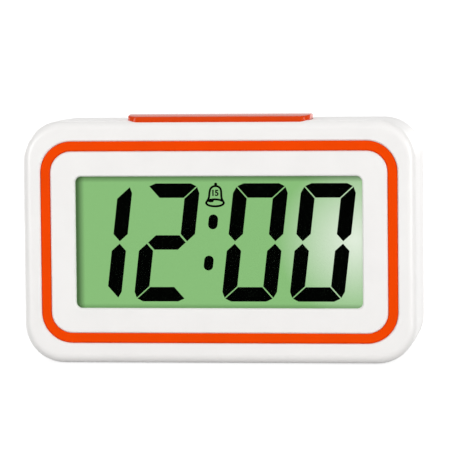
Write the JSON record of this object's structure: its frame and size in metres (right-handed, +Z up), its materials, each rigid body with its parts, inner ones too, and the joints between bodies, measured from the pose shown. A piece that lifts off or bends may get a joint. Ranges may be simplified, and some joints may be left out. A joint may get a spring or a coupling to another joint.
{
  "type": "talking clock",
  "caption": "Leaning desk clock with a rounded case, inlaid ring, backlit display, a long talk bar on top, rear set buttons, loudspeaker grille and battery door.",
  "frame": {"origin": "middle of the flat foot that the clock stands on", "axes": "+X to the right as seen from the front, +Y to the back, +Z up; the face looks along -Y"},
  "size_m": [0.13, 0.0498, 0.0811],
  "materials": {
    "white_plastic": "satin moulded",
    "orange_plastic": "satin moulded",
    "clear_plastic": "polished",
    "display_glass": "polished",
    "display_ink": "dark cells",
    "seal_resin": "cured resin",
    "green_film": "translucent film",
    "guide_acrylic": "polished",
    "white_film": "reflective film",
    "lamp_resin": "moulded",
    "black_foam": "closed-cell foam",
    "contact_rubber": "striped silicone",
    "holder_plastic": "moulded",
    "board_laminate": "solder mask",
    "black_resin": "epoxy",
    "black_plastic": "moulded",
    "ceramic": "fired",
    "steel": "zinc plated",
    "nickel_strip": "nickel plated",
    "spring_wire": "drawn wire",
    "capacitor_sleeve": "shrunk sleeve",
    "paper_cone": "pressed paper",
    "cell_jacket": "printed film jacket",
    "wire_jacket": "insulation",
    "ribbon_jacket": "insulation"
  },
  "bodies": {
    "case": {"front_case": "white_plastic", "rear_case": "white_plastic", "accent_ring": "orange_plastic", "window_lens": "clear_plastic", "lcd_gasket": "black_foam", "lcd_front_glass": "display_glass", "lcd_rear_glass": "display_glass", "lcd_segments": "display_ink", "lcd_seal": "seal_resin", "diffuser_sheet": "green_film", "light_guide": "guide_acrylic", "reflector_sheet": "white_film", "backlight_lamp": "lamp_resin", "contact_strip": "contact_rubber", "lcd_holder": "holder_plastic", "main_board": "board_laminate", "board_screws": "steel", "chip_blob": "black_resin", "watch_crystal": "nickel_strip", "capacitors": "capacitor_sleeve", "chip_parts": "ceramic", "talk_springs": "spring_wire", "talk_switch_body": "black_plastic", "case_screws": "steel", "key_board": "board_laminate", "key_switch_bodies": "black_plastic", "key_board_screws": "steel", "key_ribbon": "ribbon_jacket", "speaker_basket": "steel", "speaker_magnet": "steel", "speaker_cone": "paper_cone", "speaker_screws": "steel", "speaker_leads": "wire_jacket", "aaa_cells": "cell_jacket", "bridge_plate": "nickel_strip", "positive_plate": "nickel_strip", "negative_plate": "nickel_strip", "cell_springs": "spring_wire", "battery_leads": "wire_jacket"},
    "talk_bar": {"talk_button": "orange_plastic", "talk_switch_plunger": "holder_plastic"},
    "door": {"battery_door": "white_plastic"},
    "mode_key": {"mode_button": "orange_plastic", "mode_switch_plunger": "black_plastic"},
    "hour_key": {"hour_button": "orange_plastic", "hour_switch_plunger": "black_plastic"},
    "minute_key": {"minute_button": "orange_plastic", "minute_switch_plunger": "black_plastic"},
    "alarm_key": {"alarm_button": "orange_plastic", "alarm_switch_plunger": "black_plastic"}
  },
  "joints": [
    {"name": "talk_press", "type": "slide", "parent": "case", "child": "talk_bar", "axis": [0, -0.1392, -0.9903], "range_m": [0, 0.0012], "stiffness_N_per_m": 400, "springref_m": -0.002, "deforming": ["talk_springs"]},
    {"name": "door_swing", "type": "hinge", "parent": "case", "child": "door", "pos_m": [0.01725, 0.01827, 0.0136], "axis": [-1, 0, 0], "range_deg": [0, 85]},
    {"name": "mode_press", "type": "slide", "parent": "case", "child": "mode_key", "axis": [0, -0.9903, 0.1392], "range_m": [0, 0.0006], "stiffness_N_per_m": 300, "springref_m": -0.002},
    {"name": "hour_press", "type": "slide", "parent": "case", "child": "hour_key", "axis": [0, -0.9903, 0.1392], "range_m": [0, 0.0006], "stiffness_N_per_m": 300, "springref_m": -0.002},
    {"name": "minute_press", "type": "slide", "parent": "case", "child": "minute_key", "axis": [0, -0.9903, 0.1392], "range_m": [0, 0.0006], "stiffness_N_per_m": 300, "springref_m": -0.002},
    {"name": "alarm_press", "type": "slide", "parent": "case", "child": "alarm_key", "axis": [0, -0.9903, 0.1392], "range_m": [0, 0.0006], "stiffness_N_per_m": 300, "springref_m": -0.002}
  ]
}
